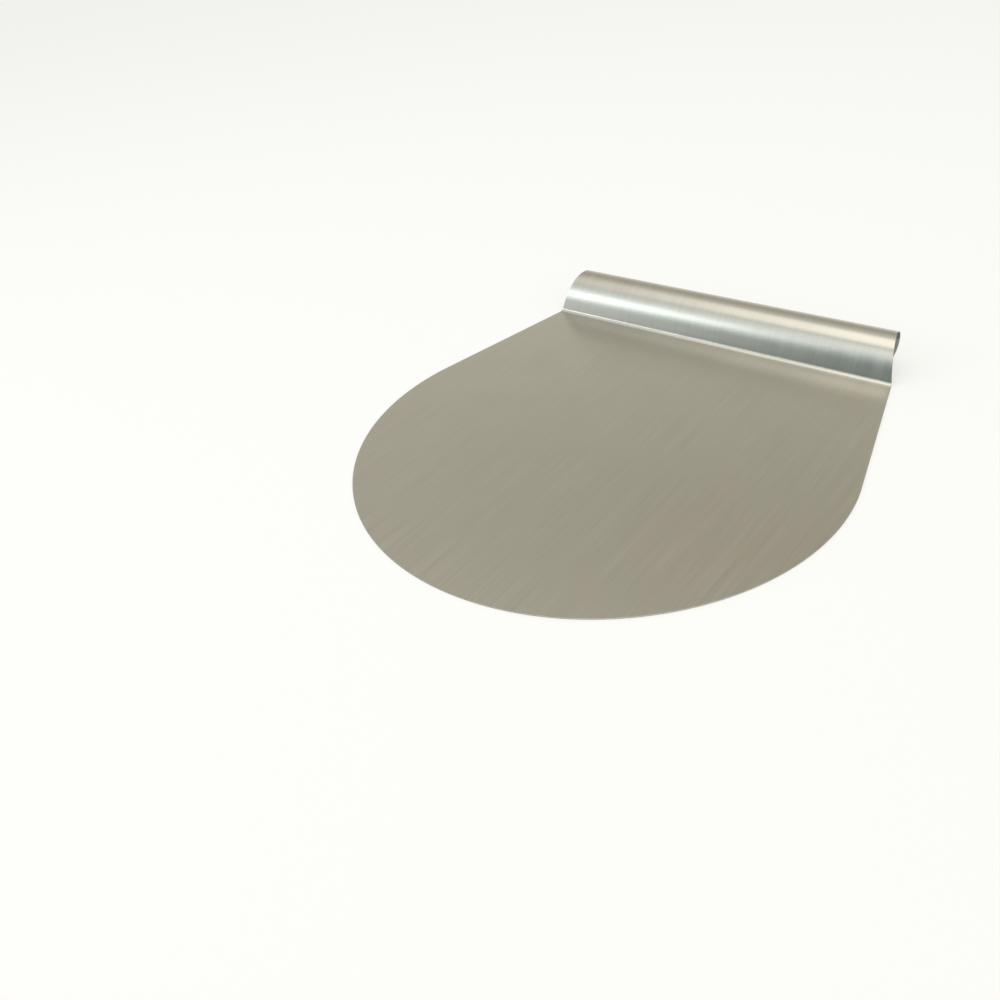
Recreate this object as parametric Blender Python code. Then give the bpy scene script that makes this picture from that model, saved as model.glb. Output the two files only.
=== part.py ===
"""Cake lifter: a thin round steel blade with a rolled sheet handle along its rear edge.

The blade lies flat on XY with its underside at z = 0 and the centre of its round at the
origin. X runs along the handle, +Y points from the round to the handle and +Z is up.
"""

import math

import bmesh
import bpy

MM = 0.001

# Steel sheet, the same gauge in both pieces
SHEET_THICKNESS = 0.6 * MM

# Blade: a round whose straight sides leave it as tangents and close in up to the crown
BLADE_RADIUS = 150.0 * MM
SIDE_ANGLE = math.radians(12.0)
FOLD_DISTANCE = 140.0 * MM
NOTCH_RADIUS = 0.9 * MM

# Handle: a short flat toe, a bend up, a wall that leans back, and a roll back and under
TOE_LENGTH = 1.0 * MM
BEND_RADIUS = 3.2 * MM
WALL_ANGLE = math.radians(76.0)
WALL_LENGTH = 17.7 * MM
WALL_RADIUS = 40.0 * MM
CROWN_RADIUS = 17.0 * MM
CURL_RADIUS = 9.5 * MM
CURL_TURN = math.radians(205.0)
CURL_SIDE_ANGLE = math.radians(2.5)
CORNER_RADIUS = 3.0 * MM

# Facets
ROUND_FACETS = 150
FACET_ANGLE = math.radians(6.0)
BEND_FACETS = 8
NOTCH_FACETS = 5
CORNER_FACETS = 5
SHARP_ANGLE = math.radians(35.0)

# Satin stainless steel
STEEL_COLOUR = (0.60, 0.59, 0.56, 1.0)
STEEL_ROUGHNESS = 0.30

# Where the flat blade and the handle's toe meet, ahead of the bend
SEAM_Y = FOLD_DISTANCE - BEND_RADIUS * math.tan(WALL_ANGLE / 2) - TOE_LENGTH


def side_half_width(distance_past_seam):
    """Half of the sheet's width, measured on the flat sheet before it is bent."""
    tangent_x = BLADE_RADIUS * math.cos(SIDE_ANGLE)
    tangent_y = BLADE_RADIUS * math.sin(SIDE_ANGLE)
    curl_start = sum(length for length, _, _ in handle_legs()[:-1])
    into_curl = max(distance_past_seam - curl_start, 0)
    past_tangent = SEAM_Y + distance_past_seam - into_curl - tangent_y
    closed_in = past_tangent * math.tan(SIDE_ANGLE) + into_curl * math.tan(CURL_SIDE_ANGLE)
    return tangent_x - closed_in


def arc_points(centre, radius, start, end, count):
    """Points on an arc from one angle to another, both ends included."""
    angles = [start + (end - start) * step / count for step in range(count + 1)]
    return [
        (centre[0] + radius * math.cos(angle), centre[1] + radius * math.sin(angle))
        for angle in angles
    ]


def blade_outline():
    """The outline, clockwise from the right rear corner, with a notch at each rear corner."""
    corner_x = side_half_width(0)
    quarter = math.radians(90)
    half = math.radians(180)
    notch_turn = quarter + SIDE_ANGLE
    right_notch = arc_points(
        (corner_x, SEAM_Y), NOTCH_RADIUS, half, half + notch_turn, NOTCH_FACETS
    )
    left_notch = arc_points((-corner_x, SEAM_Y), NOTCH_RADIUS, -notch_turn, 0, NOTCH_FACETS)
    front = arc_points((0, 0), BLADE_RADIUS, SIDE_ANGLE, -half - SIDE_ANGLE, ROUND_FACETS)
    return right_notch + front + left_notch


def handle_legs():
    """The bent sheet's legs from the seam to the free edge: length, turn and facets of each."""
    wall_turn = WALL_LENGTH / WALL_RADIUS
    crown_turn = WALL_ANGLE - wall_turn
    return [
        (TOE_LENGTH, 0, 1),
        (BEND_RADIUS * WALL_ANGLE, WALL_ANGLE, BEND_FACETS),
        (WALL_LENGTH, -wall_turn, math.ceil(wall_turn / FACET_ANGLE)),
        (CROWN_RADIUS * crown_turn, -crown_turn, math.ceil(crown_turn / FACET_ANGLE)),
        (CURL_RADIUS * CURL_TURN, -CURL_TURN, math.ceil(CURL_TURN / FACET_ANGLE)),
    ]


def place_along_handle(distance):
    """The y and z of the sheet's middle at a distance from the seam, measured along the sheet."""
    y = SEAM_Y
    z = SHEET_THICKNESS / 2
    heading = 0
    left = distance
    for length, turn, _ in handle_legs():
        run = min(left, length)
        turned = turn * run / length
        chord = run
        if turned:
            chord = run * math.sin(turned / 2) / (turned / 2)
        y += chord * math.cos(heading + turned / 2)
        z += chord * math.sin(heading + turned / 2)
        heading += turned
        left -= run
    return y, z


def handle_stations():
    """Distances along the sheet at which the handle has an edge, from the seam to the free edge."""
    stations = [0]
    start = 0
    for length, _, count in handle_legs():
        stations += [start + length * step / count for step in range(1, count + 1)]
        start += length
    straight_end = start - CORNER_RADIUS
    angles = [math.radians(90) * step / CORNER_FACETS for step in range(CORNER_FACETS + 1)]
    rounded = [straight_end + CORNER_RADIUS * math.sin(angle) for angle in angles]
    return [station for station in stations if station < straight_end] + rounded


def handle_half_width(distance, free_edge):
    """The sheet's half width at a distance from the seam, with the free edge's corners rounded."""
    into_corner = distance - (free_edge - CORNER_RADIUS)
    cut = 0
    if into_corner > 0:
        inside = max(CORNER_RADIUS ** 2 - into_corner ** 2, 0)
        cut = CORNER_RADIUS - math.sqrt(inside)
    return side_half_width(distance) - cut


def steel(name):
    """Satin stainless steel."""
    material = bpy.data.materials.new(name)
    material.use_nodes = True
    shader = material.node_tree.nodes["Principled BSDF"]
    shader.inputs["Base Color"].default_value = STEEL_COLOUR
    shader.inputs["Metallic"].default_value = 1.0
    shader.inputs["Roughness"].default_value = STEEL_ROUGHNESS
    return material


def sheet_object(name, surface):
    """A solid of the sheet's gauge, grown both ways from the surface along its middle."""
    mesh = bpy.data.meshes.new(name)
    bmesh.ops.recalc_face_normals(surface, faces=surface.faces)
    surface.to_mesh(mesh)
    surface.free()
    piece = bpy.data.objects.new(name, mesh)
    bpy.context.scene.collection.objects.link(piece)
    gauge = piece.modifiers.new("gauge", "SOLIDIFY")
    gauge.thickness = SHEET_THICKNESS
    gauge.offset = 0
    gauge.use_even_offset = True
    with bpy.context.temp_override(object=piece, active_object=piece):
        bpy.ops.object.modifier_apply(modifier=gauge.name)
    mesh.shade_smooth()
    mesh.set_sharp_from_angle(angle=SHARP_ANGLE)
    mesh.materials.append(steel(name))
    return piece


def make_blade():
    """The flat blade, from its round front to the seam."""
    surface = bmesh.new()
    middle = SHEET_THICKNESS / 2
    surface.faces.new([surface.verts.new((x, y, middle)) for x, y in blade_outline()])
    return sheet_object("blade", surface)


def make_rolled_handle():
    """The handle, drawn out edge by edge from the seam and round the roll to its free edge."""
    stations = handle_stations()
    free_edge = stations[-1]
    surface = bmesh.new()
    edge = None
    for distance in stations:
        y, z = place_along_handle(distance)
        half_width = handle_half_width(distance, free_edge)
        if edge is None:
            ends = [surface.verts.new((side * half_width, y, z)) for side in (-1, 1)]
            edge = surface.edges.new(ends)
            continue
        drawn = bmesh.ops.extrude_edge_only(surface, edges=[edge])["geom"]
        edge = next(item for item in drawn if isinstance(item, bmesh.types.BMEdge))
        for vert in edge.verts:
            vert.co = (math.copysign(half_width, vert.co.x), y, z)
    return sheet_object("rolled_handle", surface)


def main():
    for item in list(bpy.data.objects):
        bpy.data.objects.remove(item)
    make_blade()
    make_rolled_handle()


main()
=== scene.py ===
"""Cake lifter: a thin round blade of satin steel with a rolled sheet handle along its rear edge.

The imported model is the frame. Both pieces are modelled again round it with finer facets and
rounded sheet edges, and take one satin finish whose grain runs from the blade's front up
and round the handle's roll.
"""

import math

import bmesh
import bpy
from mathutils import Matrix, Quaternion, Vector


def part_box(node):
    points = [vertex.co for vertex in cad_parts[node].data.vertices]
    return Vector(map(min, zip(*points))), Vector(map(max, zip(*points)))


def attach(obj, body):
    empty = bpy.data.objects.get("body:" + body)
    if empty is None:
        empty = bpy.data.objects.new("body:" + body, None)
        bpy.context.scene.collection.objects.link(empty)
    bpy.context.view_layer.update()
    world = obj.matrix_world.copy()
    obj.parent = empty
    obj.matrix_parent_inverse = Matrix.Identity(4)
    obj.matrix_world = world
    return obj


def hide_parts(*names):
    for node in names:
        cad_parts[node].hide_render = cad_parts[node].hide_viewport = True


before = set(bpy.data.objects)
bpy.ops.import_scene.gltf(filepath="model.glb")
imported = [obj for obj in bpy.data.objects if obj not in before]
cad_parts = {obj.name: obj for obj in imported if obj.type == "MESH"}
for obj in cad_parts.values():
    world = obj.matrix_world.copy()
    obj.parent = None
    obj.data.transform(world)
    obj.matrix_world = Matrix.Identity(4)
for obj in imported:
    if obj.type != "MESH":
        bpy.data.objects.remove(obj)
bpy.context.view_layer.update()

bl_info = {
    "name": "Cake lifter",
    "version": (1, 0, 0),
    "blender": (4, 5, 0),
    "location": "View3D > Sidebar > Cake lifter",
    "description": "Builds a cake lifter of satin steel and the studio it is shown in",
    "category": "Object",
}

MM = 0.001
TINY = 0.01 * MM
BODY = "root"

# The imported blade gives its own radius, gauge and rear edge
BLADE_LOW, BLADE_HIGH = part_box("blade")
BLADE_RADIUS = round(BLADE_HIGH.x, 4)
SHEET_GAUGE = round(BLADE_HIGH.z - BLADE_LOW.z, 5)

# Facets of the blade's round and of its notches, and rows of points along the handle
ROUND_FACETS = 360
NOTCH_FACETS = 40
BEND_ROWS = 22
WALL_ROWS = 12
CROWN_ROWS = 26
CURL_ROWS = 70
CORNER_ROWS = 8

# Length of the drill that cuts each notch, in gauges of the sheet
DRILL_GAUGES = 6

# Edges sharper than the first angle are rounded. Those blunter than the second shade smooth
CUT_EDGE_ANGLE = math.radians(60)
SMOOTH_ANGLE = math.radians(20)
ROUNDING_SEGMENTS = 2

# Faces of the blade whose normal has a smaller z than this are its cut edge
RIM_NORMAL_Z = 0.5

# Patterns of the satin finish: share of the scale on each axis, scale and detail of the noise
PATTERNS = {
    "Fine grain": ((1, 0.012, 0.012), 1500, 3),
    "Broad grain": ((1, 0.02, 0.02), 480, 2),
    "Handling marks": ((1, 1, 1), 26, 3),
    "Sheet waves": ((1, 0.7, 1), 9, 1),
}

# The value that the noise varies about
NOISE_MIDDLE = 0.5

# How much of each pattern goes into the steel's colour, roughness and height
BROAD_SHARE = 0.55
GRAIN_SHADE = 0.18
MARKS_SHADE = -0.10
GRAIN_ROUGHNESS = 0.14
MARKS_ROUGHNESS = 0.07
WAVE_HEIGHT = 7.0
BUMP_DISTANCE = 0.004 * MM

# Floor, cards and camera
FLOOR_SIZE = 16.0
FLOOR_DROP = 0.2 * MM
MATT_ROUGHNESS = 0.9
SENSOR_WIDTH = 36.0
CLIP_START = 0.01

# Front and back of the studio's light blend over this span of the direction's Y
WORLD_BLEND = (-0.35, 0.35)

# Light of the studio at each height above the horizon, from 0 to 1 overhead
WORLD_STRENGTH = 1.0
WORLD_SHADES = {
    "Back": (
        (0.00, (0.93, 0.91, 0.83)),
        (0.38, (0.91, 0.89, 0.78)),
        (0.58, (0.40, 0.375, 0.28)),
        (0.72, (0.51, 0.475, 0.37)),
        (0.90, (0.82, 0.82, 0.76)),
    ),
    "Front": (
        (0.00, (1.00, 1.05, 1.03)),
        (0.14, (0.97, 1.03, 1.01)),
        (0.34, (0.86, 0.93, 0.91)),
        (0.50, (0.83, 0.90, 0.88)),
        (0.90, (0.82, 0.82, 0.76)),
    ),
}

# Name, place, target, turn in degrees about its aim, size, power and colour of each lamp
LAMPS = (
    ("strip", (-1.14, -1.16, 0.80), (0, 0.14, 0), 46, (0.81, 0.264), 3.6, (0.91, 1.0, 1.0)),
    ("side strip", (0.07, -1.05, 1.21), (0.1, 0.15, 0), 16, (0.37, 0.16), 0.9, (0.92, 1.0, 0.98)),
    ("panel", (0.05, -0.05, 1.50), (-0.13, -0.05, 0), 90, (1.40, 1.10), 5.7, (1.0, 0.95, 0.80)),
)

# Name, middle, width and height, and colour of each card that only the steel mirrors
CARDS = (
    ("dark card", (-0.11, -1.10, 0.44), (0.82, 0.88), (0.048, 0.102, 0.120)),
    ("grey card", (-0.96, -1.35, 0.67), (0.56, 0.60), (0.51, 0.59, 0.58)),
)


class LifterSizes(bpy.types.PropertyGroup):
    """Sizes of the blade and of the sheet's path through the handle"""

    blade_radius: bpy.props.FloatProperty(
        name="Blade radius", description="Radius of the blade's round",
        default=BLADE_RADIUS, min=0.1, max=0.2, unit="LENGTH", subtype="DISTANCE",
    )
    gauge: bpy.props.FloatProperty(
        name="Gauge", description="Thickness of the steel sheet",
        default=SHEET_GAUGE, min=0.0003, max=0.002, unit="LENGTH", subtype="DISTANCE",
    )
    seam_y: bpy.props.FloatProperty(
        name="Seam", description="Distance from the round's centre to where blade and handle meet",
        default=BLADE_HIGH.y, min=0.1, max=0.2, unit="LENGTH", subtype="DISTANCE",
    )
    side_angle: bpy.props.FloatProperty(
        name="Side angle", description="How much each straight side closes in, up to the crown",
        default=math.radians(12.0), min=0.0, max=0.6, unit="ROTATION", subtype="ANGLE",
    )
    notch_radius: bpy.props.FloatProperty(
        name="Notch radius", description="Radius of the relief notch at each end of the bend",
        default=0.9 * MM, min=0.0002, max=0.003, unit="LENGTH", subtype="DISTANCE",
    )
    edge_round: bpy.props.FloatProperty(
        name="Edge rounding", description="Rounding of the sheet's cut edges",
        default=0.12 * MM, min=0.00002, max=0.00025, unit="LENGTH", subtype="DISTANCE",
    )
    toe_length: bpy.props.FloatProperty(
        name="Toe", description="Flat length from the seam to the bend",
        default=1.0 * MM, min=0.0002, max=0.01, unit="LENGTH", subtype="DISTANCE",
    )
    bend_radius: bpy.props.FloatProperty(
        name="Bend radius", description="Radius of the bend at the foot of the handle",
        default=3.2 * MM, min=0.001, max=0.01, unit="LENGTH", subtype="DISTANCE",
    )
    wall_angle: bpy.props.FloatProperty(
        name="Wall angle", description="Angle above the blade at which the handle's wall starts",
        default=math.radians(76.0), min=0.5, max=1.5, unit="ROTATION", subtype="ANGLE",
    )
    wall_length: bpy.props.FloatProperty(
        name="Wall", description="Length of the handle's gently curved wall",
        default=17.7 * MM, min=0.002, max=0.03, unit="LENGTH", subtype="DISTANCE",
    )
    wall_radius: bpy.props.FloatProperty(
        name="Wall radius", description="Radius of the handle's gently curved wall",
        default=40.0 * MM, min=0.01, max=0.2, unit="LENGTH", subtype="DISTANCE",
    )
    crown_radius: bpy.props.FloatProperty(
        name="Crown radius", description="Radius of the handle's front and top",
        default=17.0 * MM, min=0.005, max=0.03, unit="LENGTH", subtype="DISTANCE",
    )
    curl_radius: bpy.props.FloatProperty(
        name="Curl radius", description="Radius of the curl behind and under the crown",
        default=9.5 * MM, min=0.005, max=0.02, unit="LENGTH", subtype="DISTANCE",
    )
    curl_turn: bpy.props.FloatProperty(
        name="Curl turn", description="How far the curl turns on to its free edge",
        default=math.radians(205.0), min=1.0, max=5.0, unit="ROTATION", subtype="ANGLE",
    )
    curl_side_angle: bpy.props.FloatProperty(
        name="Curl side angle", description="How much the sheet's ends close in along the curl",
        default=math.radians(2.5), min=0.0, max=0.6, unit="ROTATION", subtype="ANGLE",
    )
    corner_radius: bpy.props.FloatProperty(
        name="Corner radius", description="Rounding of the two corners of the free edge",
        default=3.0 * MM, min=0.0005, max=0.006, unit="LENGTH", subtype="DISTANCE",
    )


class LifterFinish(bpy.types.PropertyGroup):
    """Colours and gloss of the steel"""

    steel_colour: bpy.props.FloatVectorProperty(
        name="Steel", description="Colour of the satin faces",
        default=(0.57, 0.555, 0.52), min=0.0, max=1.0, size=3, subtype="COLOR",
    )
    edge_colour: bpy.props.FloatVectorProperty(
        name="Cut edge", description="Colour of the sheet's cut edges",
        default=(0.40, 0.385, 0.35), min=0.0, max=1.0, size=3, subtype="COLOR",
    )
    steel_roughness: bpy.props.FloatProperty(
        name="Roughness", description="Roughness of the satin faces",
        default=0.33, min=0.0, max=1.0, subtype="FACTOR",
    )
    edge_roughness: bpy.props.FloatProperty(
        name="Edge roughness", description="Roughness of the sheet's cut edges",
        default=0.42, min=0.0, max=1.0, subtype="FACTOR",
    )
    grain_stretch: bpy.props.FloatProperty(
        name="Grain stretch", description="How far the grain draws reflections out across itself",
        default=0.6, min=0.0, max=1.0, subtype="FACTOR",
    )


class LifterStudio(bpy.types.PropertyGroup):
    """Floor, light and camera"""

    floor_colour: bpy.props.FloatVectorProperty(
        name="Floor", description="Colour of the floor",
        default=(0.93, 0.93, 0.93), min=0.0, max=1.0, size=3, subtype="COLOR",
    )
    floor_white: bpy.props.FloatProperty(
        name="Floor white", description="Share of the floor that shows as plain white",
        default=0.55, min=0.0, max=1.0, subtype="FACTOR",
    )
    lens: bpy.props.FloatProperty(
        name="Lens", description="Focal length on a sensor 36 mm wide",
        default=34.20, min=10.0, max=200.0, unit="CAMERA",
    )
    camera_place: bpy.props.FloatVectorProperty(
        name="Camera", description="Where the camera stands",
        default=(0.2713, -0.3948, 0.3192), size=3, unit="LENGTH", subtype="XYZ",
    )
    camera_target: bpy.props.FloatVectorProperty(
        name="Target", description="Point on the blade that the camera looks at",
        default=(-0.0192, -0.0742, 0.0), size=3, unit="LENGTH", subtype="XYZ",
    )
    camera_roll: bpy.props.FloatProperty(
        name="Roll", description="How far the camera is turned clockwise round its own axis",
        default=math.radians(7.71), min=-1.0, max=1.0, unit="ROTATION", subtype="ANGLE",
    )


# Modelling helpers


def make_active(piece):
    """Selects one piece alone and makes it the active one."""
    bpy.ops.object.select_all(action="DESELECT")
    piece.select_set(True)
    bpy.context.view_layer.objects.active = piece


def open_for_editing(piece):
    """Opens one piece in edit mode with nothing selected."""
    make_active(piece)
    bpy.ops.object.mode_set(mode="EDIT")
    bpy.ops.mesh.select_all(action="DESELECT")


def close_editing():
    """Leaves edit mode."""
    bpy.ops.object.mode_set(mode="OBJECT")


def pick(piece, kind, wanted):
    """In edit mode, selects only the points, edges or faces that are wanted."""
    bpy.ops.mesh.select_mode(type=kind)
    bpy.ops.mesh.select_all(action="DESELECT")
    shape = bmesh.from_edit_mesh(piece.data)
    items = {"VERT": shape.verts, "EDGE": shape.edges, "FACE": shape.faces}[kind]
    for item in items:
        if wanted(item):
            item.select_set(True)
    shape.select_flush_mode()
    bmesh.update_edit_mesh(piece.data)


def new_piece(name, materials):
    """Names the primitive that was just added, and gives it its materials."""
    piece = bpy.context.object
    piece.name = name
    piece.data.name = name
    for material in materials:
        piece.data.materials.append(material)
    bpy.ops.object.transform_apply(location=True, rotation=True, scale=True)
    return piece


def apply_modifier(piece, kind, **settings):
    """Adds a modifier to a piece with its settings, and applies it."""
    modifier = piece.modifiers.new(kind.lower(), kind)
    for key, value in settings.items():
        setattr(modifier, key, value)
    make_active(piece)
    bpy.ops.object.modifier_apply(modifier=modifier.name)


def give_gauge(piece, sizes):
    """Thickens the sheet both ways from its middle. Its cut edges take the second material."""
    apply_modifier(
        piece, "SOLIDIFY",
        thickness=sizes.gauge, offset=0, use_even_offset=True, material_offset_rim=1,
    )


def round_cut_edges(piece, sizes):
    """Rounds the sheet's edges, apart from those at the seam where blade and handle meet."""

    def is_cut_edge(edge):
        at_seam = all(abs(vert.co.y - sizes.seam_y) < TINY for vert in edge.verts)
        low = all(vert.co.z < sizes.gauge + TINY for vert in edge.verts)
        return edge.calc_face_angle(0) > CUT_EDGE_ANGLE and not (at_seam and low)

    open_for_editing(piece)
    pick(piece, "EDGE", is_cut_edge)
    bpy.ops.mesh.bevel(
        offset=sizes.edge_round, segments=ROUNDING_SEGMENTS, affect="EDGES",
        clamp_overlap=False,
    )
    close_editing()
    bpy.ops.object.shade_smooth_by_angle(angle=SMOOTH_ANGLE)


def finish_piece(piece, node):
    """Rides the piece on the body and lets it stand for its node."""
    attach(piece, BODY)
    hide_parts(node)


# The sheet's shape


def tangent_point(sizes):
    """The x and y at which the right side leaves the blade's round."""
    return (
        sizes.blade_radius * math.cos(sizes.side_angle),
        sizes.blade_radius * math.sin(sizes.side_angle),
    )


def side_half_width(sizes, distance_past_seam):
    """Half of the sheet's width, measured on the flat sheet before it is bent."""
    tangent_x, tangent_y = tangent_point(sizes)
    curl_start = sum(length for length, _, _ in handle_legs(sizes)[:-1])
    into_curl = max(distance_past_seam - curl_start, 0)
    past_tangent = sizes.seam_y + distance_past_seam - into_curl - tangent_y
    closed_in = past_tangent * math.tan(sizes.side_angle)
    return tangent_x - closed_in - into_curl * math.tan(sizes.curl_side_angle)


def handle_legs(sizes):
    """The bent sheet's legs from the seam to the free edge: length, turn and rows of each."""
    bend = sizes.wall_angle
    wall = sizes.wall_length / sizes.wall_radius
    crown = bend - wall
    curl = sizes.curl_turn
    return [
        (sizes.toe_length, 0, 1),
        (sizes.bend_radius * bend, bend, BEND_ROWS),
        (sizes.wall_length, -wall, WALL_ROWS),
        (sizes.crown_radius * crown, -crown, CROWN_ROWS),
        (sizes.curl_radius * curl, -curl, CURL_ROWS),
    ]


def place_along_handle(sizes, distance):
    """The y and z of the sheet's middle at a distance from the seam, along the sheet."""
    y = sizes.seam_y
    z = sizes.gauge / 2
    heading = 0
    remaining = distance
    for length, turn, _ in handle_legs(sizes):
        run = min(remaining, length)
        turned = turn * run / length
        chord = run
        if turned:
            chord = run * math.sin(turned / 2) / (turned / 2)
        y += chord * math.cos(heading + turned / 2)
        z += chord * math.sin(heading + turned / 2)
        heading += turned
        remaining -= run
    return y, z


def handle_rows(sizes):
    """Half width, y and z of each row of points across the handle, from seam to free edge."""
    distances = [0]
    start = 0
    for length, _, count in handle_legs(sizes):
        distances += [start + length * step / count for step in range(1, count + 1)]
        start += length
    corner = sizes.corner_radius
    corner_start = start - corner
    angles = [math.radians(90) * step / CORNER_ROWS for step in range(CORNER_ROWS + 1)]
    distances = [item for item in distances if item < corner_start - TINY]
    distances += [corner_start + corner * math.sin(angle) for angle in angles]
    rows = []
    for distance in distances:
        into_corner = max(distance - corner_start, 0)
        cut = corner - math.sqrt(max(corner ** 2 - into_corner ** 2, 0))
        half_width = side_half_width(sizes, distance) - cut
        rows.append((half_width, *place_along_handle(sizes, distance)))
    return rows


# Materials


def link(tree, source, target):
    """Joins an output socket to an input socket."""
    tree.links.new(source, target)


def add_node(tree, kind, place, **settings):
    """Adds a shader node at a place in the editor, with its settings."""
    node = tree.nodes.new(kind)
    node.location = place
    for key, value in settings.items():
        setattr(node, key, value)
    return node


def noise(tree, coordinates, name, place):
    """One of the patterns, on the object's coordinates. A low axis share draws it out."""
    axis_shares, scale, detail = PATTERNS[name]
    mapping = add_node(tree, "ShaderNodeMapping", place)
    mapping.inputs["Scale"].default_value = axis_shares
    pattern = add_node(tree, "ShaderNodeTexNoise", (place[0] + 200, place[1]))
    pattern.label = name
    pattern.inputs["Scale"].default_value = scale
    pattern.inputs["Detail"].default_value = detail
    link(tree, coordinates, mapping.inputs["Vector"])
    link(tree, mapping.outputs["Vector"], pattern.inputs["Vector"])
    return pattern.outputs["Fac"]


def maths(tree, operation, first, second, place):
    """A Math node. Each operand is a socket or a number."""
    node = add_node(tree, "ShaderNodeMath", place, operation=operation)
    for operand, socket in zip((first, second), node.inputs):
        if isinstance(operand, (int, float)):
            socket.default_value = operand
        else:
            link(tree, operand, socket)
    return node.outputs[0]


def blend_across(tree, along, span, first, second):
    """Colour that goes softly from the first to the second over a span of one coordinate."""
    share = add_node(tree, "ShaderNodeMapRange", (-300, 0), interpolation_type="SMOOTHSTEP")
    share.inputs["From Min"].default_value, share.inputs["From Max"].default_value = span
    mixed = add_node(tree, "ShaderNodeMix", (-100, 0), data_type="RGBA")
    link(tree, along, share.inputs["Value"])
    link(tree, share.outputs["Result"], mixed.inputs["Factor"])
    # A Mix node's sockets share their names, so its colours are found by number
    link(tree, first, mixed.inputs[6])
    link(tree, second, mixed.inputs[7])
    return mixed.outputs[2]


def satin_grain_group():
    """Straight fine grain, handling marks and slow waves of the sheet, for every steel here."""
    group = bpy.data.node_groups.get("Satin grain")
    if group:
        return group
    group = bpy.data.node_groups.new("Satin grain", "ShaderNodeTree")
    face = group.interface
    for name, kind in (
        ("Steel", "NodeSocketColor"),
        ("Roughness", "NodeSocketFloat"),
        ("Grain", "NodeSocketFloat"),
        ("Marks", "NodeSocketFloat"),
    ):
        face.new_socket(name=name, in_out="INPUT", socket_type=kind)
    for name, kind in (
        ("Colour", "NodeSocketColor"),
        ("Roughness", "NodeSocketFloat"),
        ("Height", "NodeSocketFloat"),
    ):
        face.new_socket(name=name, in_out="OUTPUT", socket_type=kind)
    given = add_node(group, "NodeGroupInput", (-1200, 0))
    put_out = add_node(group, "NodeGroupOutput", (900, 0))
    where = add_node(group, "ShaderNodeTexCoord", (-1200, -300)).outputs["Object"]

    levels = (300, 0, -300, -600)
    fine, broad, cloud, wave = (
        noise(group, where, name, (-900, level)) for name, level in zip(PATTERNS, levels)
    )
    fine_off, broad_off, cloud_off = (
        maths(group, "SUBTRACT", pattern, NOISE_MIDDLE, (-450, level))
        for pattern, level in zip((fine, broad, cloud), levels)
    )
    broad_part = maths(group, "MULTIPLY", broad_off, BROAD_SHARE, (-250, 0))
    streak = maths(group, "ADD", fine_off, broad_part, (-50, 200))
    grain = maths(group, "MULTIPLY", streak, given.outputs["Grain"], (150, 200))
    marks = maths(group, "MULTIPLY", cloud_off, given.outputs["Marks"], (150, -200))

    grain_shade = maths(group, "MULTIPLY", grain, GRAIN_SHADE, (350, 300))
    marks_shade = maths(group, "MULTIPLY", marks, MARKS_SHADE, (350, 150))
    shade = maths(group, "ADD", grain_shade, marks_shade, (500, 250))
    value = maths(group, "ADD", shade, 1.0, (600, 250))
    tone = add_node(group, "ShaderNodeVectorMath", (740, 250), operation="SCALE")
    link(group, given.outputs["Steel"], tone.inputs[0])
    link(group, value, tone.inputs["Scale"])
    link(group, tone.outputs["Vector"], put_out.inputs["Colour"])

    grain_rough = maths(group, "MULTIPLY", grain, GRAIN_ROUGHNESS, (350, 0))
    marks_rough = maths(group, "MULTIPLY", marks, MARKS_ROUGHNESS, (350, -100))
    both_rough = maths(group, "ADD", grain_rough, marks_rough, (500, -50))
    rough = maths(group, "ADD", given.outputs["Roughness"], both_rough, (600, -50))
    link(group, rough, put_out.inputs["Roughness"])

    slow = maths(group, "MULTIPLY", wave, WAVE_HEIGHT, (350, -400))
    height = maths(group, "ADD", grain, slow, (500, -300))
    link(group, height, put_out.inputs["Height"])
    return group


def steel(name, colour, roughness, stretch, grain, marks):
    """Satin steel: the grain group drives colour, roughness and height."""
    material = bpy.data.materials.get(name)
    if material:
        return material
    material = bpy.data.materials.new(name)
    material.use_nodes = True
    tree = material.node_tree
    shader = tree.nodes["Principled BSDF"]
    shader.inputs["Metallic"].default_value = 1.0
    shader.inputs["Anisotropic"].default_value = stretch
    grain_node = add_node(tree, "ShaderNodeGroup", (-500, 200), node_tree=satin_grain_group())
    grain_node.inputs["Steel"].default_value = (*colour, 1)
    grain_node.inputs["Roughness"].default_value = roughness
    grain_node.inputs["Grain"].default_value = grain
    grain_node.inputs["Marks"].default_value = marks
    bump = add_node(tree, "ShaderNodeBump", (-250, -200))
    bump.inputs["Strength"].default_value = 1.0
    bump.inputs["Distance"].default_value = BUMP_DISTANCE
    across = add_node(
        tree, "ShaderNodeVectorTransform", (-250, -400),
        vector_type="VECTOR", convert_from="OBJECT", convert_to="WORLD",
    )
    across.label = "Across the grain"
    across.inputs[0].default_value = (1, 0, 0)
    link(tree, grain_node.outputs["Colour"], shader.inputs["Base Color"])
    link(tree, grain_node.outputs["Roughness"], shader.inputs["Roughness"])
    link(tree, grain_node.outputs["Height"], bump.inputs["Height"])
    link(tree, bump.outputs["Normal"], shader.inputs["Normal"])
    link(tree, across.outputs[0], shader.inputs["Tangent"])
    return material


def sheet_materials(finish):
    """The satin face of the sheet and its duller cut edge."""
    face = steel(
        "satin steel face", finish.steel_colour, finish.steel_roughness,
        stretch=finish.grain_stretch, grain=1.0, marks=1.0,
    )
    edge = steel(
        "sheared steel edge", finish.edge_colour, finish.edge_roughness,
        stretch=0.0, grain=1.5, marks=0.6,
    )
    return face, edge


# Operators


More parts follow.
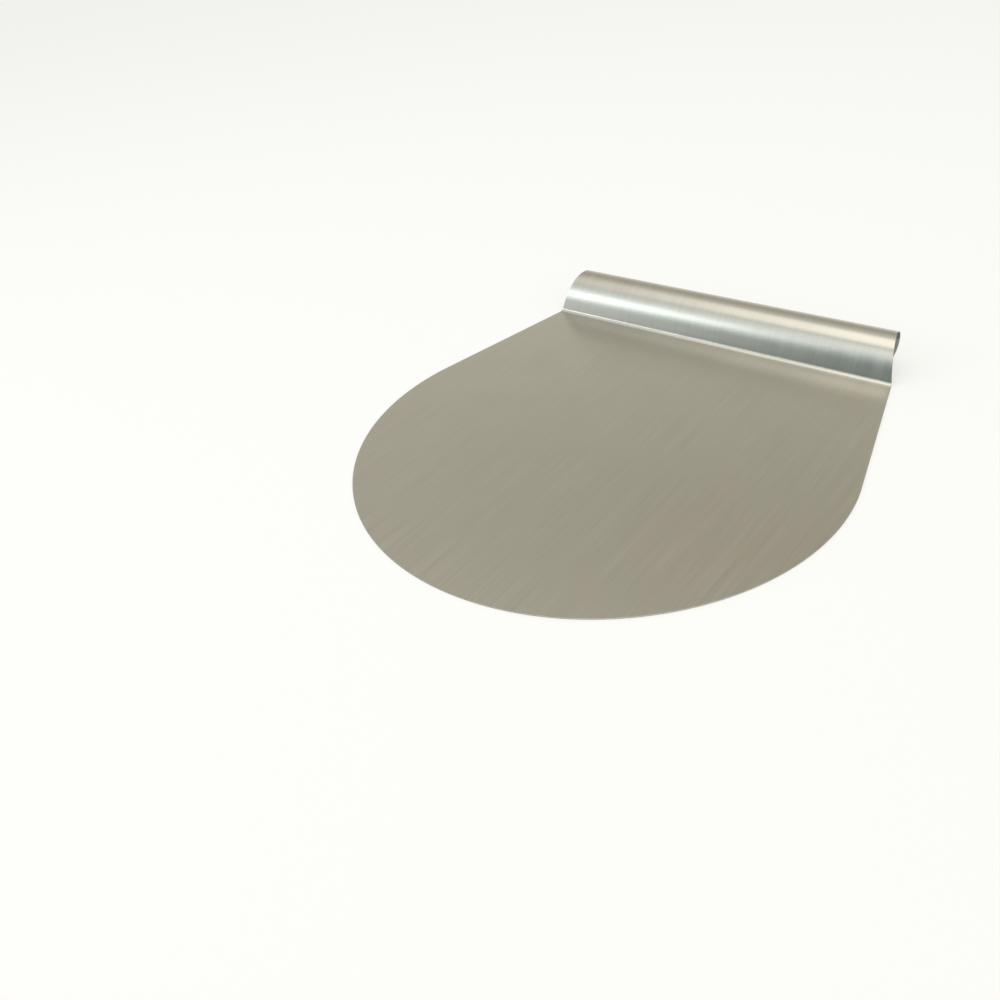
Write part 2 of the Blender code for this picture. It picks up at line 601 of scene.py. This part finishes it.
class LIFTER_OT_blade(bpy.types.Operator):
    """Models the blade: round in front, with straight sides and a notch at each rear corner"""

    bl_idname = "lifter.blade"
    bl_label = "Blade"

    def execute(self, context):
        sizes = context.scene.lifter_sizes
        middle = sizes.gauge / 2
        tangent_x, tangent_y = tangent_point(sizes)
        corner_x = side_half_width(sizes, 0)
        bpy.ops.mesh.primitive_circle_add(
            vertices=ROUND_FACETS, radius=sizes.blade_radius, location=(0, 0, middle),
        )
        piece = new_piece("lifter_blade", sheet_materials(context.scene.lifter_finish))
        open_for_editing(piece)
        pick(piece, "VERT", lambda vert: vert.co.y > tangent_y + TINY)
        bpy.ops.mesh.delete(type="VERT")
        pick(piece, "VERT", lambda vert: vert.co.y > tangent_y - TINY)
        bpy.ops.mesh.extrude_region_move(
            TRANSFORM_OT_translate={"value": (0, sizes.seam_y - tangent_y, 0)},
        )
        bpy.ops.transform.resize(
            value=(corner_x / tangent_x, 1, 1), center_override=(0, sizes.seam_y, middle),
        )
        bpy.ops.mesh.select_all(action="SELECT")
        bpy.ops.mesh.edge_face_add()
        close_editing()
        give_gauge(piece, sizes)
        self.cut_notches(piece, sizes, corner_x)
        open_for_editing(piece)
        pick(piece, "FACE", lambda face: abs(face.normal.z) < RIM_NORMAL_Z)
        piece.active_material_index = 1
        bpy.ops.object.material_slot_assign()
        close_editing()
        round_cut_edges(piece, sizes)
        finish_piece(piece, "blade")
        return {"FINISHED"}

    @staticmethod
    def cut_notches(piece, sizes, corner_x):
        """Drills a relief notch at both rear corners."""
        for side in (-1, 1):
            bpy.ops.mesh.primitive_cylinder_add(
                vertices=NOTCH_FACETS, radius=sizes.notch_radius,
                depth=DRILL_GAUGES * sizes.gauge,
                location=(side * corner_x, sizes.seam_y, sizes.gauge / 2),
            )
            drill = bpy.context.object
            apply_modifier(piece, "BOOLEAN", operation="DIFFERENCE", object=drill)
            bpy.data.objects.remove(drill)


class LIFTER_OT_handle(bpy.types.Operator):
    """Models the handle: the sheet drawn out row by row, up the wall and round the roll"""

    bl_idname = "lifter.handle"
    bl_label = "Rolled handle"

    def execute(self, context):
        sizes = context.scene.lifter_sizes
        rows = handle_rows(sizes)
        (first_half, first_y, first_z), (second_half, second_y, _) = rows[:2]
        toe = second_y - first_y
        bpy.ops.mesh.primitive_plane_add(size=1, location=(0, first_y + toe / 2, first_z))
        bpy.context.object.scale = (2 * first_half, toe, 1)
        piece = new_piece("lifter_handle", sheet_materials(context.scene.lifter_finish))
        open_for_editing(piece)
        pick(piece, "EDGE", lambda edge: all(v.co.y > second_y - TINY for v in edge.verts))
        bpy.ops.transform.resize(
            value=(second_half / first_half, 1, 1), center_override=(0, second_y, first_z),
        )
        for (half, y, z), (next_half, next_y, next_z) in zip(rows[1:], rows[2:]):
            bpy.ops.mesh.extrude_region_move(
                TRANSFORM_OT_translate={"value": (0, next_y - y, next_z - z)},
            )
            bpy.ops.transform.resize(
                value=(next_half / half, 1, 1), center_override=(0, next_y, next_z),
            )
        close_editing()
        give_gauge(piece, sizes)
        round_cut_edges(piece, sizes)
        finish_piece(piece, "rolled_handle")
        return {"FINISHED"}


class LIFTER_OT_studio(bpy.types.Operator):
    """Lays the floor, sets the lamps and the world, and places the camera"""

    bl_idname = "lifter.studio"
    bl_label = "Studio"

    def execute(self, context):
        studio = context.scene.lifter_studio
        self.lay_floor(studio)
        self.stand_cards()
        self.set_world(context.scene)
        self.set_lamps()
        self.place_camera(context.scene, studio)
        context.scene.view_settings.view_transform = "Standard"
        return {"FINISHED"}

    @staticmethod
    def lay_floor(studio):
        """A wide pale floor. Camera and mirrors see a share of it as plain white."""
        bpy.ops.mesh.primitive_plane_add(size=FLOOR_SIZE, location=(0, 0, -FLOOR_DROP))
        floor = bpy.context.object
        floor.name = "floor"
        material = bpy.data.materials.new("pale floor")
        material.use_nodes = True
        tree = material.node_tree
        shader = tree.nodes["Principled BSDF"]
        shader.inputs["Base Color"].default_value = (*studio.floor_colour, 1)
        shader.inputs["Roughness"].default_value = MATT_ROUGHNESS
        shader.inputs["Specular IOR Level"].default_value = 0.0
        rays = add_node(tree, "ShaderNodeLightPath", (-600, 300))
        camera_ray, glossy_ray, clear_ray = (
            rays.outputs[name]
            for name in ("Is Camera Ray", "Is Glossy Ray", "Is Transmission Ray")
        )
        eye = maths(tree, "MAXIMUM", camera_ray, glossy_ray, (-400, 300))
        seen = maths(tree, "MAXIMUM", eye, clear_ray, (-200, 300))
        share = maths(tree, "MULTIPLY", seen, studio.floor_white, (0, 300))
        white = add_node(tree, "ShaderNodeEmission", (0, -300))
        mixed = add_node(tree, "ShaderNodeMixShader", (300, 0))
        link(tree, share, mixed.inputs[0])
        link(tree, shader.outputs[0], mixed.inputs[1])
        link(tree, white.outputs[0], mixed.inputs[2])
        link(tree, mixed.outputs[0], tree.nodes["Material Output"].inputs["Surface"])
        floor.data.materials.append(material)

    @staticmethod
    def stand_cards():
        """Two cards in front, out of every picture. Only the steel mirrors them."""
        for name, place, size, colour in CARDS:
            bpy.ops.mesh.primitive_plane_add(
                size=1, location=place, rotation=(math.radians(90), 0, 0),
            )
            card = bpy.context.object
            card.name = name
            card.scale = (*size, 1)
            material = bpy.data.materials.new(name)
            material.use_nodes = True
            shader = material.node_tree.nodes["Principled BSDF"]
            shader.inputs["Base Color"].default_value = (*colour, 1)
            shader.inputs["Roughness"].default_value = MATT_ROUGHNESS
            card.data.materials.append(material)
            card.visible_camera = False
            card.visible_diffuse = False
            card.visible_shadow = False

    @staticmethod
    def set_world(scene):
        """Plain soft light, warmer and a little darker behind, cooler in front."""
        world = bpy.data.worlds.new("studio")
        scene.world = world
        world.use_nodes = True
        tree = world.node_tree
        background = tree.nodes["Background"]
        background.inputs["Strength"].default_value = WORLD_STRENGTH
        where = add_node(tree, "ShaderNodeTexCoord", (-1200, 0)).outputs["Generated"]
        parts = add_node(tree, "ShaderNodeSeparateXYZ", (-1000, 0))
        link(tree, where, parts.inputs[0])
        shades = []
        for name, stops in WORLD_SHADES.items():
            ramp = add_node(tree, "ShaderNodeValToRGB", (-700, -300 * len(shades)), label=name)
            points = ramp.color_ramp.elements
            while len(points) < len(stops):
                points.new(1.0)
            for point, (height, colour) in zip(points, stops):
                point.position = height
                point.color = (*colour, 1)
            link(tree, parts.outputs["Z"], ramp.inputs["Fac"])
            shades.append(ramp.outputs["Color"])
        back, front = shades
        whole = blend_across(tree, parts.outputs["Y"], WORLD_BLEND, front, back)
        link(tree, whole, background.inputs["Color"])

    @staticmethod
    def set_lamps():
        """Two strips, at the front left and high in front, and a warm panel overhead."""
        for name, place, target, turn, size, power, colour in LAMPS:
            bpy.ops.object.light_add(type="AREA", location=place)
            lamp = bpy.context.object
            lamp.name = name
            lamp.data.shape = "RECTANGLE"
            lamp.data.size, lamp.data.size_y = size
            lamp.data.energy = power
            lamp.data.color = colour
            towards = Vector(target) - Vector(place)
            tilt = Quaternion((0, 0, 1), math.radians(turn))
            lamp.rotation_euler = (towards.to_track_quat("-Z", "Y") @ tilt).to_euler()

    @staticmethod
    def place_camera(scene, studio):
        """The camera looks down on the lifter from its front right, turned a little."""
        place = Vector(studio.camera_place)
        towards = Vector(studio.camera_target) - place
        bpy.ops.object.camera_add(location=place)
        camera = bpy.context.object
        roll = Quaternion((0, 0, 1), -studio.camera_roll)
        camera.rotation_euler = (towards.to_track_quat("-Z", "Y") @ roll).to_euler()
        camera.data.lens = studio.lens
        camera.data.sensor_width = SENSOR_WIDTH
        camera.data.clip_start = CLIP_START
        scene.camera = camera


class LIFTER_PT_panel(bpy.types.Panel):
    """Lists the lifter's pieces and its studio"""

    bl_idname = "LIFTER_PT_panel"
    bl_label = "Cake lifter"
    bl_space_type = "VIEW_3D"
    bl_region_type = "UI"
    bl_category = "Cake lifter"

    def draw(self, context):
        for operator in OPERATORS:
            self.layout.operator(operator.bl_idname)


OPERATORS = (LIFTER_OT_blade, LIFTER_OT_handle, LIFTER_OT_studio)
SETTINGS = {
    "lifter_sizes": LifterSizes,
    "lifter_finish": LifterFinish,
    "lifter_studio": LifterStudio,
}
CLASSES = (*SETTINGS.values(), *OPERATORS, LIFTER_PT_panel)


def register():
    for item in CLASSES:
        bpy.utils.register_class(item)
    for name, settings in SETTINGS.items():
        setattr(bpy.types.Scene, name, bpy.props.PointerProperty(type=settings))


def unregister():
    for name in SETTINGS:
        delattr(bpy.types.Scene, name)
    for item in reversed(CLASSES):
        bpy.utils.unregister_class(item)


def main():
    register()
    bpy.ops.lifter.blade()
    bpy.ops.lifter.handle()
    bpy.ops.lifter.studio()


if __name__ == "__main__":
    main()
